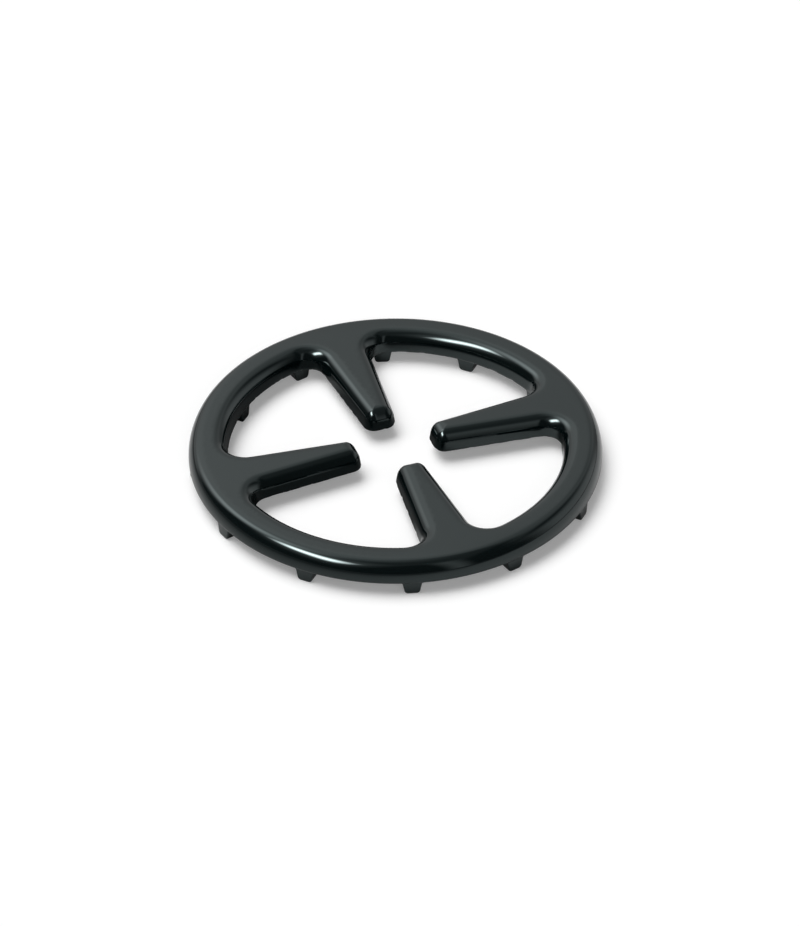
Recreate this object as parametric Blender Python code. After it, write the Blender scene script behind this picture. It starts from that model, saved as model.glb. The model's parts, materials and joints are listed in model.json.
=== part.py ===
"""Gas hob pan reducer: one enamelled iron casting that carries small pots over a large burner.

A flat-topped ring holds four fingers that point inwards. Twelve radial feet under the ring drop
between the bars of the hob's pan support. The casting stands on its feet at z = 0, with its centre
on the Z axis and a finger along each of +X, +Y, -X and -Y.
"""

from math import asin, atan2, cos, pi, radians, sin, tan

import bmesh
import bpy

MM = 0.001

# Plate: the ring and its fingers, one thickness
outer_radius = 65.0 * MM
ring_width = 12.5 * MM  # from the outer wall to the window's round wall
plate_depth = 7.0 * MM
shoulder_width = 4.3 * MM  # broad elliptic round of the ring's outer top edge
shoulder_depth = 6.0 * MM
lower_edge_radius = 0.6 * MM  # every edge of the underside

# Window: the opening inside the ring. Its walls lean, and every width and distance along it is
# taken at the underside, where the metal is widest.
window_radius = outer_radius - ring_width
window_draft = radians(9.0)  # lean of the window's walls
window_edge_width = 3.6 * MM  # elliptic round of its top edge, along fingers and ring alike
window_edge_depth = 4.0 * MM

finger_count = 4
finger_tip_distance = 12.1 * MM  # from the centre to the end of a finger
finger_tip_width = 10.0 * MM
finger_root_width = 17.9 * MM  # where the flanks would meet the window's round wall
finger_tip_corner_radius = 3.7 * MM
finger_root_fillet_radius = 5.6 * MM

# Feet: tapered bars under the ring, nearly as long as the ring is wide
foot_count = 12
foot_height = 4.0 * MM
foot_root_width = 6.1 * MM
foot_end_width = 4.5 * MM
foot_corner_radius = 1.2 * MM
foot_root_fillet_radius = 0.6 * MM
foot_end_edge_radius = 0.4 * MM
foot_setback = 0.3 * MM  # from each end of a foot to the ring's wall
foot_overlap = 1.5 * MM  # how far a foot reaches up into the plate that it is joined to

# Black vitreous enamel
enamel_colour = (0.010, 0.014, 0.015, 1.0)
enamel_roughness = 0.08

# Facets of the round forms
rim_segments = 120
shoulder_segments = 8
window_edge_segments = 7
lower_edge_segments = 2
window_wall_segments = 18
root_fillet_segments = 7
tip_corner_segments = 6
foot_corner_segments = 4
foot_fillet_segments = 2

plate_top = foot_height + plate_depth
cutter_margin = 2.0 * MM  # how far a cutter stands out of what it cuts
smallest_radius = 0.1 * MM
weld_distance = 0.001 * MM
smooth_angle = radians(35.0)


def limited(size, room):
    """The size of a round, or nineteen twentieths of the room there is for it."""
    return max(min(size, 0.95 * room), smallest_radius)


def arc(centre, radius, start, turn, segments):
    """Points of an arc, both ends included."""
    angles = [start + turn * i / segments for i in range(segments + 1)]
    return [(centre[0] + radius * cos(a), centre[1] + radius * sin(a)) for a in angles]


def rotated(points, angle):
    return [(x * cos(angle) - y * sin(angle), x * sin(angle) + y * cos(angle)) for x, y in points]


def half_finger(inset):
    """One side of the finger on +X, from the middle of its tip to the window's round wall.

    The flank is straight. Every wall stands inset further into the metal than at the underside.
    """
    slope = atan2(finger_root_width - finger_tip_width, 2 * (window_radius - finger_tip_distance))
    flank_start = finger_tip_width / 2 - finger_tip_distance * tan(slope) - inset / cos(slope)

    def flank(x):
        return flank_start + x * tan(slope)

    # The tip's corner touches the tip's end and the flank
    tip_x = finger_tip_distance + inset
    room = flank(tip_x) / tan(pi / 4 - slope / 2)
    corner = limited(finger_tip_corner_radius - inset, room)
    corner_centre = (tip_x + corner, flank(tip_x + corner) - corner / cos(slope))
    points = arc(corner_centre, corner, pi, slope - pi / 2, tip_corner_segments)

    # The root fillet touches the flank and the round wall
    fillet = finger_root_fillet_radius + inset
    centre_distance = window_radius + inset - fillet
    centre_angle = slope + asin((flank_start * cos(slope) + fillet) / centre_distance)
    fillet_centre = (centre_distance * cos(centre_angle), centre_distance * sin(centre_angle))
    start = slope - pi / 2
    return points + arc(fillet_centre, fillet, start, centre_angle - start, root_fillet_segments)


def window_outline(inset):
    """Outline of the whole window, counter-clockwise, cut inset further into the metal."""
    pitch = 2 * pi / finger_count
    half = half_finger(inset)
    root_angle = atan2(half[-1][1], half[-1][0])
    wall_turn = pitch - 2 * root_angle
    wall = arc((0, 0), window_radius + inset, root_angle, wall_turn, window_wall_segments)
    other_half = [(x, -y) for x, y in reversed(half)]
    one_pitch = half + wall[1:-1] + rotated(other_half, pitch)
    return [point for n in range(finger_count) for point in rotated(one_pitch, n * pitch)]


def rim_outline(inset):
    """Outline of the ring's outer wall, counter-clockwise, inset into the metal."""
    return arc((0, 0), outer_radius - inset, 0, 2 * pi, rim_segments)[:-1]


def wall_levels(edge_width, edge_depth, draft, segments):
    """(height, inset) down a wall: elliptic top edge, leaning wall, round lower edge.

    The lean is added to an upright wall, so that the top edge runs smoothly into both its sides.
    """
    depth = limited(edge_depth, plate_depth - lower_edge_radius)
    levels = []
    for i in range(segments + 1):
        angle = pi / 2 * i / segments
        drop = depth * (1 - cos(angle))
        inset = (plate_depth - drop) * tan(draft) + edge_width * (1 - sin(angle))
        levels.append((plate_top - drop, inset))
    for i in range(lower_edge_segments + 1):
        angle = pi / 2 * i / lower_edge_segments
        rise = lower_edge_radius * (1 - sin(angle))
        inset = rise * tan(draft) + lower_edge_radius * (1 - cos(angle))
        levels.append((foot_height + rise, inset))
    return levels


def window_levels():
    """The window's wall, with a flat left between the top edges of a finger's tip."""
    room = finger_tip_width / 2 - plate_depth * tan(window_draft)
    width = limited(window_edge_width, room)
    return wall_levels(width, window_edge_depth, window_draft, window_edge_segments)


def rim_levels():
    """The ring's outer wall, with a flat left between the shoulder and the window's top edge."""
    window_top_inset = window_levels()[0][1]
    width = limited(shoulder_width, ring_width - window_top_inset)
    return wall_levels(width, shoulder_depth, 0.0, shoulder_segments)


def foot_section():
    """Section across a foot, counter-clockwise, with y = 0 at the plate's underside."""
    slope = atan2(foot_root_width - foot_end_width, 2 * foot_height)
    corner = limited(foot_corner_radius, min(foot_end_width / 2, foot_height))
    fillet = foot_root_fillet_radius
    corner_x = foot_end_width / 2 + corner * tan(slope) - corner / cos(slope)
    fillet_x = foot_root_width / 2 - fillet * tan(slope) + fillet / cos(slope)
    turn = pi / 2 - slope
    side = arc((corner_x, corner - foot_height), corner, -pi / 2, turn, foot_corner_segments)
    side += arc((fillet_x, -fillet), fillet, pi - slope, -turn, foot_fillet_segments)
    side.append((fillet_x, foot_overlap))
    return side + [(-x, y) for x, y in reversed(side)]


def new_collection(name):
    collection = bpy.data.collections.new(name)
    bpy.context.scene.collection.children.link(collection)
    return collection


def new_object(name, data, collection):
    made = bpy.data.objects.new(name, data)
    collection.objects.link(made)
    return made


def new_mesh(name, bm):
    mesh = bpy.data.meshes.new(name)
    bm.to_mesh(mesh)
    bm.free()
    return mesh


def evaluated_mesh(source):
    bpy.context.view_layer.update()
    graph = bpy.context.evaluated_depsgraph_get()
    return bpy.data.meshes.new_from_object(source.evaluated_get(graph))


def hide_tool(tool):
    tool.hide_render = True
    tool.display_type = "WIRE"


def enamel():
    material = bpy.data.materials.new("black_vitreous_enamel")
    material.use_nodes = True
    shader = material.node_tree.nodes["Principled BSDF"]
    shader.inputs["Base Color"].default_value = enamel_colour
    shader.inputs["Roughness"].default_value = enamel_roughness
    shader.inputs["Metallic"].default_value = 0.0
    return material


def skinned_solid(name, outline, levels, collection):
    """Solid skinned over an outline at each level, flat at both ends."""
    bm = bmesh.new()
    loops = []
    for height, inset in levels:
        verts = [bm.verts.new((x, y, height)) for x, y in outline(inset)]
        loops.append([bm.edges.new(pair) for pair in zip(verts, verts[1:] + verts[:1])])
    for upper, lower in zip(loops, loops[1:]):
        bmesh.ops.bridge_loops(bm, edges=upper + lower)
    for end in (loops[0], loops[-1]):
        bmesh.ops.contextual_create(bm, geom=end)
    bmesh.ops.recalc_face_normals(bm, faces=bm.faces)
    return new_object(name, new_mesh(name, bm), collection)


def window_core(collection):
    """Cutter with the form of the window, which stands out above and below the plate."""
    levels = window_levels()
    levels.insert(0, (plate_top + cutter_margin, levels[0][1]))
    levels.append((foot_height - cutter_margin, levels[-1][1]))
    core = skinned_solid("window_core", window_outline, levels, collection)
    hide_tool(core)
    return core


def foot_mesh():
    """One foot: its section extruded along the radius, with the rims of both ends rounded."""
    length = ring_width - 2 * foot_setback
    curve = bpy.data.curves.new("foot", "CURVE")
    curve.dimensions = "2D"
    curve.fill_mode = "BOTH"
    curve.extrude = length / 2 - foot_end_edge_radius
    curve.bevel_depth = foot_end_edge_radius
    curve.bevel_resolution = 0
    curve.offset = -foot_end_edge_radius
    section = foot_section()
    spline = curve.splines.new("POLY")
    spline.points.add(len(section) - 1)
    for point, (x, y) in zip(spline.points, section):
        point.co = (x, y, 0, 1)
    spline.use_cyclic_u = True
    guide = new_object("foot_curve", curve, bpy.context.scene.collection)
    bm = bmesh.new()
    bm.from_mesh(evaluated_mesh(guide))
    bpy.data.objects.remove(guide)
    bmesh.ops.remove_doubles(bm, verts=bm.verts, dist=weld_distance)
    bmesh.ops.recalc_face_normals(bm, faces=bm.faces)
    return new_mesh("foot", bm)


def add_feet(collection):
    """Places the feet round the ring, the first half a pitch away from a finger."""
    mesh = foot_mesh()
    middle = outer_radius - ring_width / 2
    pitch = 2 * pi / foot_count
    for n in range(foot_count):
        angle = pitch * (n + 0.5)
        foot = new_object(f"foot_{n + 1:02}", mesh, collection)
        foot.location = (middle * cos(angle), middle * sin(angle), foot_height)
        foot.rotation_euler = (pi / 2, 0, pi / 2 + angle)
        hide_tool(foot)


def add_boolean(target, name, operation):
    modifier = target.modifiers.new(name, "BOOLEAN")
    modifier.operation = operation
    modifier.solver = "EXACT"
    return modifier


def main():
    for old in list(bpy.data.objects):
        bpy.data.objects.remove(old, do_unlink=True)
    parts = new_collection("gas_hob_pan_reducer")
    cutters = new_collection("cutters")
    feet = new_collection("feet")
    reducer = skinned_solid("pan_reducer", rim_outline, rim_levels(), parts)
    cut = add_boolean(reducer, "window", "DIFFERENCE")
    cut.object = window_core(cutters)
    add_feet(feet)
    join = add_boolean(reducer, "feet", "UNION")
    join.operand_type = "COLLECTION"
    join.collection = feet

    casting = evaluated_mesh(reducer)
    reducer.modifiers.clear()
    reducer.data = casting
    casting.shade_smooth()
    casting.set_sharp_from_angle(angle=smooth_angle)
    casting.materials.clear()
    casting.materials.append(enamel())


main()
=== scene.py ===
"""The looks of a gas hob pan reducer: black vitreous enamel over one iron casting.

The casting is drawn again with far finer facets than the CAD solid has, to the same sizes and
inside the same box, because glossy enamel mirrors the studio and shows every facet. It stands on
a white table under soft studio light, seen from the photograph's angle.
"""

import json
from math import asin, atan2, cos, pi, radians, sin, tan

import bmesh
import bpy
from mathutils import Matrix, Vector, noise
from mathutils.geometry import delaunay_2d_cdt

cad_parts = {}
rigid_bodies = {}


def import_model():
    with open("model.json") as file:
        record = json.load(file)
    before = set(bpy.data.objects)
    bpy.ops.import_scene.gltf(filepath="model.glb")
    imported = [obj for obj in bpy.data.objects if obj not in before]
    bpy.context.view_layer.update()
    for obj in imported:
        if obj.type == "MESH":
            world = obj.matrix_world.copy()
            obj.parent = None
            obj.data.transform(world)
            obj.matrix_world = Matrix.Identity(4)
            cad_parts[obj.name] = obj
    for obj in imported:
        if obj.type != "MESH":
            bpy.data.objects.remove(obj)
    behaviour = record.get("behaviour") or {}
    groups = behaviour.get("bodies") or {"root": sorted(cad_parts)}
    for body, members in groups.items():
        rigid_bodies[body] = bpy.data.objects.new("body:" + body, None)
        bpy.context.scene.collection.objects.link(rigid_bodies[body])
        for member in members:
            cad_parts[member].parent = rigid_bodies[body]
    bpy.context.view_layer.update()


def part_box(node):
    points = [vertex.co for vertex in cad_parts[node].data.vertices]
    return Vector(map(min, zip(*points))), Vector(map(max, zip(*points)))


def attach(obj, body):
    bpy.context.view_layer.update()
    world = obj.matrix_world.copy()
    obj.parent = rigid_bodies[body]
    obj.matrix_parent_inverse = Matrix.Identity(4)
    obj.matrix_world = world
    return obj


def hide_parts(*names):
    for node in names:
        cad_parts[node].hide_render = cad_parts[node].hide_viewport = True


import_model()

MM = 0.001

# Plate: the ring and its fingers, one thickness. The frame gives its radius and its height.
outer_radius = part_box("pan_reducer")[1].x
plate_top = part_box("pan_reducer")[1].z
foot_height = 4.0 * MM
ring_width = 12.5 * MM
shoulder_width = 4.3 * MM
shoulder_depth = 6.0 * MM
lower_edge_radius = 0.6 * MM

# Window: the opening inside the ring, with its sizes at the underside
window_radius = outer_radius - ring_width
window_draft = radians(9.0)
window_edge_width = 3.6 * MM
window_edge_depth = 4.0 * MM
finger_count = 4
finger_tip_distance = 12.1 * MM
finger_tip_width = 10.0 * MM
finger_root_width = 17.9 * MM
finger_tip_corner_radius = 3.7 * MM
finger_root_fillet_radius = 5.6 * MM
smallest_radius = 0.1 * MM

# Feet
foot_count = 12
foot_root_width = 6.1 * MM
foot_end_width = 4.5 * MM
foot_corner_radius = 1.2 * MM
foot_root_fillet_radius = 0.6 * MM
foot_end_edge_radius = 0.4 * MM
foot_setback = 0.3 * MM
foot_overlap = 1.5 * MM

# Notches in the window's lower edge
ragged_depth = 0.6 * MM
ragged_height = 1.8 * MM
ragged_pitch = 1.6 * MM
ragged_least_lean = 0.3  # a face whose normal is less level than this is the flat underside

# Facets of the fine mesh
rim_segments = 384
shoulder_segments = 14
wall_segments = 5
lower_edge_segments = 3
window_edge_segments = 10
window_arc_segments = 64
flank_segments = 44
root_fillet_segments = 14
tip_corner_segments = 10
tip_end_segments = 4
foot_corner_segments = 8
foot_fillet_segments = 4
foot_end_edge_segments = 3
fill_pitch = 1.6 * MM  # between the points inside the flat faces
weld_distance = 0.001 * MM
smooth_angle = radians(50.0)

plate_depth = plate_top - foot_height

# Camera, at the photograph's angle: it looks down past the left side of the finger on -Y
camera_azimuth = radians(19.39)
camera_elevation = radians(37.79)
camera_distance = 1.4146
camera_roll = radians(0.252)
camera_lens = 175.4  # mm, on a sensor 36 mm high
camera_aim = Vector((-3.39, -13.86, 11.0)) * MM


def arc(centre, radius, start, turn, segments):
    """Points of an arc, both ends included."""
    angles = [start + turn * i / segments for i in range(segments + 1)]
    return [(centre[0] + radius * cos(a), centre[1] + radius * sin(a)) for a in angles]


def between(start, end, segments):
    """Points on the straight line from start to end, without its ends."""
    shares = [i / segments for i in range(1, segments)]
    return [tuple(a + (b - a) * s for a, b in zip(start, end)) for s in shares]


def rotated(points, angle):
    return [(x * cos(angle) - y * sin(angle), x * sin(angle) + y * cos(angle)) for x, y in points]


def half_finger(inset):
    """One side of the finger on +X, from its tip to the window's round wall.

    Every wall stands inset further into the metal than at the underside.
    """
    slope = atan2(finger_root_width - finger_tip_width, 2 * (window_radius - finger_tip_distance))
    flank_start = finger_tip_width / 2 - finger_tip_distance * tan(slope) - inset / cos(slope)
    tip_x = finger_tip_distance + inset
    corner = max(finger_tip_corner_radius - inset, smallest_radius)
    corner_y = flank_start + (tip_x + corner) * tan(slope) - corner / cos(slope)
    tip_turn = slope - pi / 2
    tip = arc((tip_x + corner, corner_y), corner, pi, tip_turn, tip_corner_segments)
    tip_end = between((tip_x, 0), tip[0], tip_end_segments)

    fillet = finger_root_fillet_radius + inset
    centre_distance = window_radius + inset - fillet
    centre_angle = slope + asin((flank_start * cos(slope) + fillet) / centre_distance)
    fillet_centre = (centre_distance * cos(centre_angle), centre_distance * sin(centre_angle))
    root_turn = centre_angle - tip_turn
    root = arc(fillet_centre, fillet, tip_turn, root_turn, root_fillet_segments)
    return tip_end + tip + between(tip[-1], root[0], flank_segments) + root


def window_outline(inset):
    """Outline of the whole window, counter-clockwise, cut inset further into the metal."""
    pitch = 2 * pi / finger_count
    half = half_finger(inset)
    root_angle = atan2(half[-1][1], half[-1][0])
    wall_turn = pitch - 2 * root_angle
    wall = arc((0, 0), window_radius + inset, root_angle, wall_turn, window_arc_segments)
    other_half = [(x, -y) for x, y in reversed(half)]
    tip_middle = [(finger_tip_distance + inset, 0)]
    one_pitch = half + wall[1:-1] + rotated(other_half + tip_middle, pitch)
    return [point for n in range(finger_count) for point in rotated(one_pitch, n * pitch)]


def wall_levels(edge_width, edge_depth, draft, segments):
    """(height, inset) down a wall: elliptic top edge, leaning wall, round lower edge."""
    top = []
    for i in range(segments + 1):
        angle = pi / 2 * i / segments
        drop = edge_depth * (1 - cos(angle))
        inset = (plate_depth - drop) * tan(draft) + edge_width * (1 - sin(angle))
        top.append((plate_top - drop, inset))
    bottom = []
    for i in range(lower_edge_segments + 1):
        angle = pi / 2 * i / lower_edge_segments
        rise = lower_edge_radius * (1 - sin(angle))
        inset = rise * tan(draft) + lower_edge_radius * (1 - cos(angle))
        bottom.append((foot_height + rise, inset))
    return top + between(top[-1], bottom[0], wall_segments) + bottom


def rim_outline(inset):
    """Outline of the ring's outer wall, counter-clockwise, inset into the metal."""
    return arc((0, 0), outer_radius - inset, 0, 2 * pi, rim_segments)[:-1]


def skin(bm, loops):
    """Joins closed loops of points, each as long as the others, by bands of four-sided faces."""
    rows = [[bm.verts.new(point) for point in loop] for loop in loops]
    for upper, lower in zip(rows, rows[1:]):
        for i in range(len(upper)):
            bm.faces.new((upper[i - 1], upper[i], lower[i], lower[i - 1]))
    return rows


def fill_flat(bm, outer, inner, height):
    """Fills the flat face between two closed loops with well-shaped triangles."""
    points = [Vector(point) for point in outer + inner]
    disc = list(range(len(outer)))
    hole = list(range(len(outer), len(points)))
    rows = int(outer_radius / fill_pitch)
    for row in range(-rows, rows + 1):
        for column in range(-rows, rows + 1):
            x = (column + 0.5 * (row % 2)) * fill_pitch
            points.append(Vector((x, row * fill_pitch * sin(pi / 3))))
    places, _, triangles, _, _, sources = delaunay_2d_cdt(points, [], [disc, hole], 1, weld_distance)
    verts = [bm.verts.new((p.x, p.y, height)) for p in places]
    for triangle, loops in zip(triangles, sources):
        if 0 in loops and 1 not in loops:
            bm.faces.new([verts[i] for i in triangle])
    loose = [v for v in verts if not v.link_faces]
    bmesh.ops.delete(bm, geom=loose, context="VERTS")


def plate_mesh():
    """Ring and fingers: the outer wall, the window's wall, and the flat top and underside."""
    bm = bmesh.new()
    rim_levels = wall_levels(shoulder_width, shoulder_depth, 0.0, shoulder_segments)
    window_levels = wall_levels(window_edge_width, window_edge_depth, window_draft, window_edge_segments)
    rims = [[(x, y, h) for x, y in rim_outline(i)] for h, i in rim_levels]
    walls = [[(x, y, h) for x, y in window_outline(i)] for h, i in window_levels]
    skin(bm, rims)
    skin(bm, walls)
    for level in (0, -1):
        outer = [point[:2] for point in rims[level]]
        inner = [point[:2] for point in walls[level]]
        fill_flat(bm, outer, inner, rims[level][0][2])
    bmesh.ops.remove_doubles(bm, verts=bm.verts, dist=weld_distance)
    bmesh.ops.recalc_face_normals(bm, faces=bm.faces)
    bm.normal_update()
    make_ragged(bm)
    mesh = bpy.data.meshes.new("enamelled_casting")
    bm.to_mesh(mesh)
    bm.free()
    return mesh


def make_ragged(bm):
    """Eats small notches into the window's lower edge, where the enamel has run off it."""
    for vert in bm.verts:
        rise = vert.co.z - foot_height
        reach = vert.co.xy.length
        if rise > ragged_height or reach > window_radius + lower_edge_radius:
            continue
        outward = vert.normal.copy()
        outward.z = 0
        if outward.length < ragged_least_lean:
            continue
        notch = max(noise.noise(vert.co / ragged_pitch), 0)
        fade = (1 - rise / ragged_height) ** 2
        vert.co -= outward.normalized() * ragged_depth * notch * fade


def foot_section():
    """Section across a foot, counter-clockwise, with y = 0 at the plate's underside."""
    slope = atan2(foot_root_width - foot_end_width, 2 * foot_height)
    corner = foot_corner_radius
    fillet = foot_root_fillet_radius
    corner_x = foot_end_width / 2 + corner * tan(slope) - corner / cos(slope)
    fillet_x = foot_root_width / 2 - fillet * tan(slope) + fillet / cos(slope)
    turn = pi / 2 - slope
    side = arc((corner_x, corner - foot_height), corner, -pi / 2, turn, foot_corner_segments)
    side += arc((fillet_x, -fillet), fillet, pi - slope, -turn, foot_fillet_segments)
    side.append((fillet_x, foot_overlap))
    return side + [(-x, y) for x, y in reversed(side)]


def foot_mesh():
    """One foot: its section extruded along the radius, with the rims of both ends rounded."""
    length = ring_width - 2 * foot_setback
    curve = bpy.data.curves.new("foot", "CURVE")
    curve.dimensions = "2D"
    curve.fill_mode = "BOTH"
    curve.extrude = length / 2 - foot_end_edge_radius
    curve.bevel_depth = foot_end_edge_radius
    curve.bevel_resolution = foot_end_edge_segments
    curve.offset = -foot_end_edge_radius
    section = foot_section()
    spline = curve.splines.new("POLY")
    spline.points.add(len(section) - 1)
    for point, (x, y) in zip(spline.points, section):
        point.co = (x, y, 0, 1)
    spline.use_cyclic_u = True
    guide = bpy.data.objects.new("foot_guide", curve)
    bpy.context.scene.collection.objects.link(guide)
    mesh = evaluated_mesh(guide)
    bpy.data.objects.remove(guide)
    bm = bmesh.new()
    bm.from_mesh(mesh)
    bmesh.ops.remove_doubles(bm, verts=bm.verts, dist=weld_distance)
    bmesh.ops.recalc_face_normals(bm, faces=bm.faces)
    bm.to_mesh(mesh)
    bm.free()
    return mesh


def evaluated_mesh(source):
    bpy.context.view_layer.update()
    graph = bpy.context.evaluated_depsgraph_get()
    return bpy.data.meshes.new_from_object(source.evaluated_get(graph))


def build_casting():
    """The whole casting: the plate with the twelve feet joined on under the ring."""
    casting = bpy.data.objects.new("enamelled_casting", plate_mesh())
    bpy.context.scene.collection.objects.link(casting)
    feet = bpy.data.collections.new("feet")
    mesh = foot_mesh()
    middle = outer_radius - ring_width / 2
    for n in range(foot_count):
        angle = 2 * pi / foot_count * (n + 0.5)
        foot = bpy.data.objects.new(f"foot_{n + 1:02}", mesh)
        foot.location = (middle * cos(angle), middle * sin(angle), foot_height)
        foot.rotation_euler = (pi / 2, 0, pi / 2 + angle)
        feet.objects.link(foot)
    bpy.context.scene.collection.children.link(feet)
    join = casting.modifiers.new("feet", "BOOLEAN")
    join.operation = "UNION"
    join.solver = "EXACT"
    join.operand_type = "COLLECTION"
    join.collection = feet
    casting.data = evaluated_mesh(casting)
    casting.modifiers.clear()
    for foot in list(feet.objects):
        bpy.data.objects.remove(foot)
    bpy.data.collections.remove(feet)
    casting.data.shade_smooth()
    casting.data.set_sharp_from_angle(angle=smooth_angle)
    return casting


def linear(colour):
    """An sRGB hex value as a linear colour."""
    parts = [int(colour[i:i + 2], 16) / 255 for i in (1, 3, 5)]
    return tuple(((c + 0.055) / 1.055) ** 2.4 if c > 0.04045 else c / 12.92 for c in parts) + (1,)


def add_node(tree, kind, inputs=None, links=None, **settings):
    """Adds a node with its settings, its sockets' values and its links from other sockets."""
    made = tree.nodes.new(kind)
    for name, value in settings.items():
        setattr(made, name, value)
    for name, value in (inputs or {}).items():
        made.inputs[name].default_value = value
    for name, output in (links or {}).items():
        tree.links.new(output, made.inputs[name])
    return made


def vitreous_enamel():
    """Black vitreous enamel fired on cast iron: glass over black, so it mirrors the studio."""
    material = bpy.data.materials.new("black_vitreous_enamel_on_cast_iron")
    material.use_nodes = True
    tree = material.node_tree
    shader = tree.nodes["Principled BSDF"]
    shader.inputs["Base Color"].default_value = linear("#030a0b")  # black with a hint of green-blue
    shader.inputs["IOR"].default_value = 1.5
    # The same hint in what it mirrors, which leaves the brightest streaks white
    shader.inputs["Specular Tint"].default_value = linear("#ecffff")

    # The fired glass has a very slight orange peel, about 4 mm from hump to hump with a finer one
    # on it, which makes the edges of the streaks waver
    place = add_node(tree, "ShaderNodeTexCoord").outputs["Object"]
    peel = add_node(tree, "ShaderNodeTexNoise", {"Scale": 1 / (4 * MM), "Detail": 1.0}, {"Vector": place})
    bump = {"Distance": 0.006 * MM}
    ripple = add_node(tree, "ShaderNodeBump", bump, {"Height": peel.outputs["Fac"]})
    tree.links.new(ripple.outputs["Normal"], shader.inputs["Normal"])

    # Patches of slightly duller gloss, some 15 mm across, which make the streaks a little uneven
    patch = add_node(tree, "ShaderNodeTexNoise", {"Scale": 1 / (15 * MM), "Detail": 2.0}, {"Vector": place})
    span = {"To Min": 0.02, "To Max": 0.08}
    gloss = add_node(tree, "ShaderNodeMapRange", span, {"Value": patch.outputs["Fac"]})
    tree.links.new(gloss.outputs[0], shader.inputs["Roughness"])
    return material


def make_camera():
    data = bpy.data.cameras.new("camera")
    data.lens = camera_lens
    camera = bpy.data.objects.new("camera", data)
    bpy.context.scene.collection.objects.link(camera)
    level = cos(camera_elevation)
    back = Vector((-sin(camera_azimuth) * level, -cos(camera_azimuth) * level, sin(camera_elevation)))
    camera.location = Vector((0, 0, plate_top)) + back * camera_distance
    aim = (camera_aim - camera.location).to_track_quat("-Z", "Y")
    camera.rotation_euler = (aim.to_matrix() @ Matrix.Rotation(-camera_roll, 3, "Z")).to_euler()
    bpy.context.scene.camera = camera


def studio_axis(azimuth, elevation):
    """A direction in the studio. Azimuth 0 is straight ahead of the camera, and 90 to its right."""
    turn = camera_azimuth + radians(azimuth)
    rise = radians(elevation)
    return Vector((sin(turn) * cos(rise), cos(turn) * cos(rise), sin(rise)))


def add_panel(tree, direction, behind, azimuth, elevation, turn, width, height, softness, strength):
    """Adds a soft-edged bright panel to the studio behind it. All its sizes are in degrees.

    The panel is turned about its centre, anticlockwise as seen from the table.
    """
    centre = studio_axis(azimuth, elevation)
    level = studio_axis(azimuth + 90, 0)
    across = Matrix.Rotation(radians(-turn), 3, centre) @ level
    upward = across.cross(centre)
    ahead = add_node(tree, "ShaderNodeVectorMath", {1: centre}, {0: direction}, operation="DOT_PRODUCT")
    front = add_node(tree, "ShaderNodeMath", {1: 0.0}, {0: ahead.outputs["Value"]}, operation="GREATER_THAN")
    share = front.outputs[0]
    for axis, size in ((across, width), (upward, height)):
        reach = add_node(tree, "ShaderNodeVectorMath", {1: axis}, {0: direction}, operation="DOT_PRODUCT")
        away = add_node(tree, "ShaderNodeMath", links={0: reach.outputs["Value"]}, operation="ABSOLUTE")
        outside = sin(radians(size / 2 + softness))
        inside = sin(radians(max(size / 2 - softness, 0)))
        fade = add_node(
            tree,
            "ShaderNodeMapRange",
            {"From Min": outside, "From Max": inside},
            {"Value": away.outputs[0]},
            interpolation_type="SMOOTHSTEP",
        )
        both = add_node(tree, "ShaderNodeMath", links={0: share, 1: fade.outputs[0]}, operation="MULTIPLY")
        share = both.outputs[0]
    scaled = add_node(tree, "ShaderNodeMath", {1: strength}, {0: share, 2: behind}, operation="MULTIPLY_ADD")
    return scaled.outputs[0]


def any_ray(tree, *kinds):
    """One where the ray is of any of these kinds, and nought elsewhere."""
    path = add_node(tree, "ShaderNodeLightPath").outputs
    found = path[kinds[0]]
    for kind in kinds[1:]:
        either = add_node(tree, "ShaderNodeMath", links={0: found, 1: path[kind]}, operation="MAXIMUM")
        found = either.outputs[0]
    return found


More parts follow.
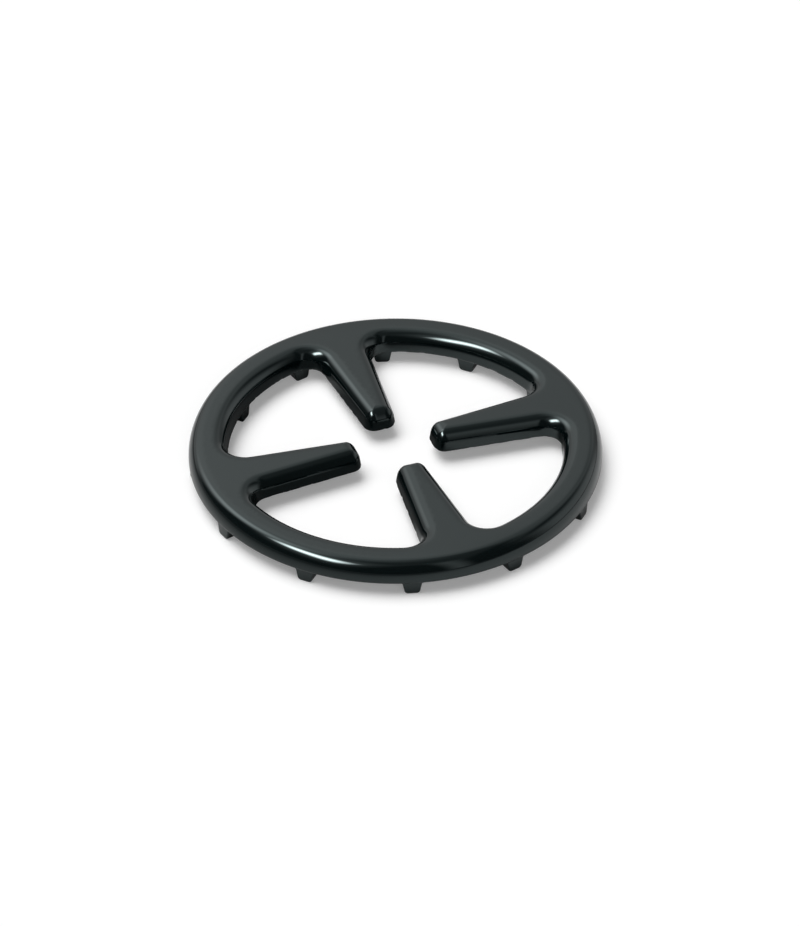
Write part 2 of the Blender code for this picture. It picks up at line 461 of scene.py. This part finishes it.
def make_world():
    """The studio: what lights the table, and what the glossy enamel mirrors.

    A panel's numbers are its azimuth, elevation, turn, width, height and softness in degrees, and
    its strength. The camera itself sees plain white.
    """
    world = bpy.data.worlds.new("studio")
    world.use_nodes = True
    tree = world.node_tree
    tree.nodes.clear()
    direction = add_node(tree, "ShaderNodeTexCoord").outputs["Generated"]

    # Light on the table: a large soft lamp high on the left, ahead of the camera, a weak one
    # behind the camera and a little light from everywhere
    even = add_node(tree, "ShaderNodeValue").outputs[0]
    even.default_value = 0.1
    light = add_panel(tree, direction, even, -60, 68, 0, 52, 32, 13, 6.0)
    light = add_panel(tree, direction, light, 165, 32, 0, 40, 24, 10, 1.6)

    # What the enamel mirrors, which gives its flats their grey and its edges their streaks
    room = add_node(tree, "ShaderNodeValue").outputs[0]
    room.default_value = 0.07
    seen = add_panel(tree, direction, room, -13, 29, 4, 90, 95, 8, 0.51)  # white backdrop
    seen = add_panel(tree, direction, seen, -46, 56, 38, 55, 65, 15, 0.65)  # its bright upper left
    seen = add_panel(tree, direction, seen, -30, 35, -4, 42, 40, 3, 0.2)  # and its bright middle
    seen = add_panel(tree, direction, seen, -66, 47, 21, 0, 41, 20, 2.95)  # glow of a lamp behind it
    seen = add_panel(tree, direction, seen, -128, 47.5, 18, 32, 9, 7.5, 31.0)  # softbox
    seen = add_panel(tree, direction, seen, -133, 46, 21, 30, 24, 19, 1.2)  # glow round the softbox
    seen = add_panel(tree, direction, seen, 72, 7, 2, 58, 51, 14, 0.8)  # white card on the right
    seen = add_panel(tree, direction, seen, 149, 21, -4, 1, 55, 9, 0.66)  # strip behind the camera
    seen = add_panel(tree, direction, seen, 93, 88, -5, 79, 55, 5, 0.14)  # pale ceiling
    mirrored = any_ray(tree, "Is Glossy Ray", "Is Transmission Ray")
    either = add_node(tree, "ShaderNodeMix", links={"Factor": mirrored, "A": light, "B": seen})
    direct = any_ray(tree, "Is Camera Ray")
    strength = add_node(tree, "ShaderNodeMix", {"B": 1.0}, {"Factor": direct, "A": either.outputs[0]})
    white = {"Color": (1, 1, 1, 1)}
    background = add_node(tree, "ShaderNodeBackground", white, {"Strength": strength.outputs[0]})
    add_node(tree, "ShaderNodeOutputWorld", links={"Surface": background.outputs[0]})
    bpy.context.scene.world = world


def white_card():
    """Matt white card. It keeps the casting's shadow, and away from it the camera sees pure white."""
    material = bpy.data.materials.new("matt_white_card")
    material.use_nodes = True
    tree = material.node_tree
    tree.nodes.clear()
    lit = add_node(tree, "ShaderNodeBsdfDiffuse", {"Color": linear("#eaeaea")})
    # Part of its white is a glow for the camera alone, which sets how dark the shadow gets
    direct = any_ray(tree, "Is Camera Ray")
    lift = add_node(tree, "ShaderNodeMath", {1: 0.215}, {0: direct}, operation="MULTIPLY")
    glow = add_node(tree, "ShaderNodeEmission", links={"Strength": lift.outputs[0]})
    white = add_node(tree, "ShaderNodeAddShader", links={0: lit.outputs[0], 1: glow.outputs[0]})

    # In the enamel the card is bright round the casting and to its right. Its fall-off into the dark studio
    # is a painted reflection, and the shade under the left half of the window is painted shade. Glossy rays
    # alone see both, so that the front flank of the left finger and the left rear of the ring stay black.
    place = add_node(tree, "ShaderNodeNewGeometry").outputs["Position"]
    painted_falloff_far_away = (studio_axis(57, 0) * 72 * MM, 115 * MM, 195 * MM, 0.0, 0.75)
    painted_shade_under_window = (studio_axis(-95, 0) * 22 * MM, 33 * MM, 52 * MM, 0.85, 0.0)
    painted_losses = []
    for middle, near, far, near_loss, far_loss in (painted_falloff_far_away, painted_shade_under_window):
        away = add_node(tree, "ShaderNodeVectorMath", {1: middle}, {0: place}, operation="DISTANCE")
        fade = add_node(
            tree,
            "ShaderNodeMapRange",
            {"From Min": near, "From Max": far, "To Min": near_loss, "To Max": far_loss},
            {"Value": away.outputs["Value"]},
            interpolation_type="SMOOTHSTEP",
        )
        painted_losses.append(fade.outputs[0])
    painted_loss = add_node(tree, "ShaderNodeMath", links={0: painted_losses[0], 1: painted_losses[1]}, operation="MAXIMUM")
    # Painted shade and painted fall-off, seen only in what the enamel mirrors
    mirrored = any_ray(tree, "Is Glossy Ray")
    dark = add_node(tree, "ShaderNodeMath", links={0: painted_loss.outputs[0], 1: mirrored}, operation="MULTIPLY")
    shown = add_node(tree, "ShaderNodeMixShader", links={"Fac": dark.outputs[0], 1: white.outputs[0]})
    add_node(tree, "ShaderNodeOutputMaterial", links={"Surface": shown.outputs[0]})
    return material


def make_table():
    bm = bmesh.new()
    bmesh.ops.create_grid(bm, x_segments=2, y_segments=2, size=3.0)
    mesh = bpy.data.meshes.new("table")
    bm.to_mesh(mesh)
    bm.free()
    mesh.materials.append(white_card())
    table = bpy.data.objects.new("table", mesh)
    bpy.context.scene.collection.objects.link(table)


bpy.context.scene.view_settings.view_transform = "Standard"
casting = build_casting()
casting.data.materials.clear()
casting.data.materials.append(vitreous_enamel())
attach(casting, "root")
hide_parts("pan_reducer")
make_camera()
make_world()
make_table()
